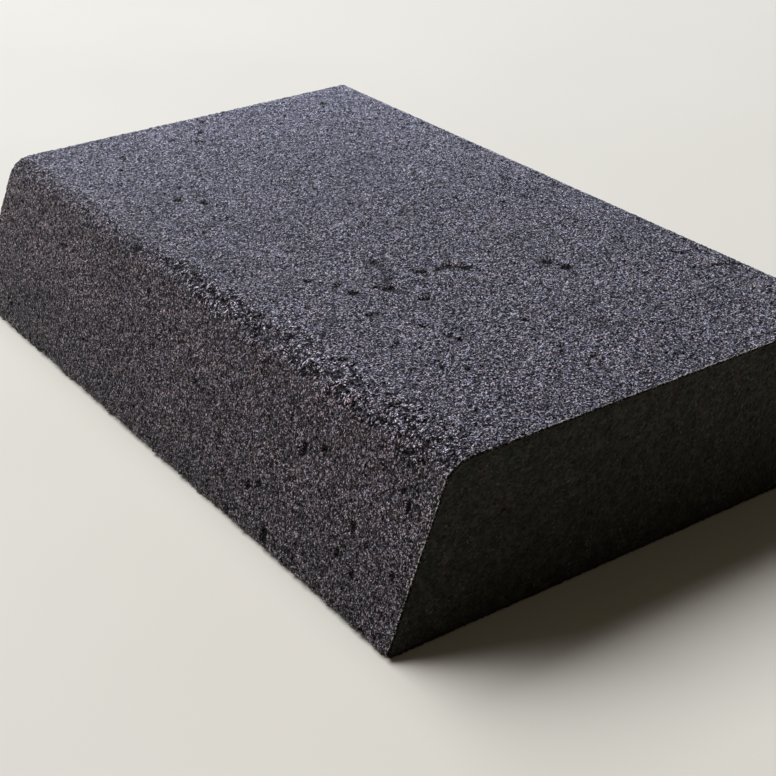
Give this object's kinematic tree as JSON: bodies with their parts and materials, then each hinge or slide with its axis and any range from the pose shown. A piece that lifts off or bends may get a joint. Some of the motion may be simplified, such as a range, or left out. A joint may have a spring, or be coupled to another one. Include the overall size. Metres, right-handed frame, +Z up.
{
  "type": "sanding block",
  "caption": "Hand sanding block of dense foam with one sloped long side, abrasive grain on its long faces and bare cut ends.",
  "frame": {"origin": "centre of the bottom face's rectangle, on the surface that the block lies on", "axes": "+X along the length, -Y towards the sloped long side, +Z up out of the narrower top face"},
  "size_m": [0.127, 0.0785, 0.0244],
  "materials": {
    "foam": "matt, fine open pores where it is cut",
    "resin": "dull dark resin film",
    "grit": "coarse abrasive grain with small glints"
  },
  "bodies": {
    "root": {"foam_core": "foam", "top_make_coat": "resin", "top_grit_coat": "grit", "slope_make_coat": "resin", "slope_grit_coat": "grit", "bottom_make_coat": "resin", "bottom_grit_coat": "grit", "back_make_coat": "resin", "back_grit_coat": "grit"}
  },
  "joints": []
}
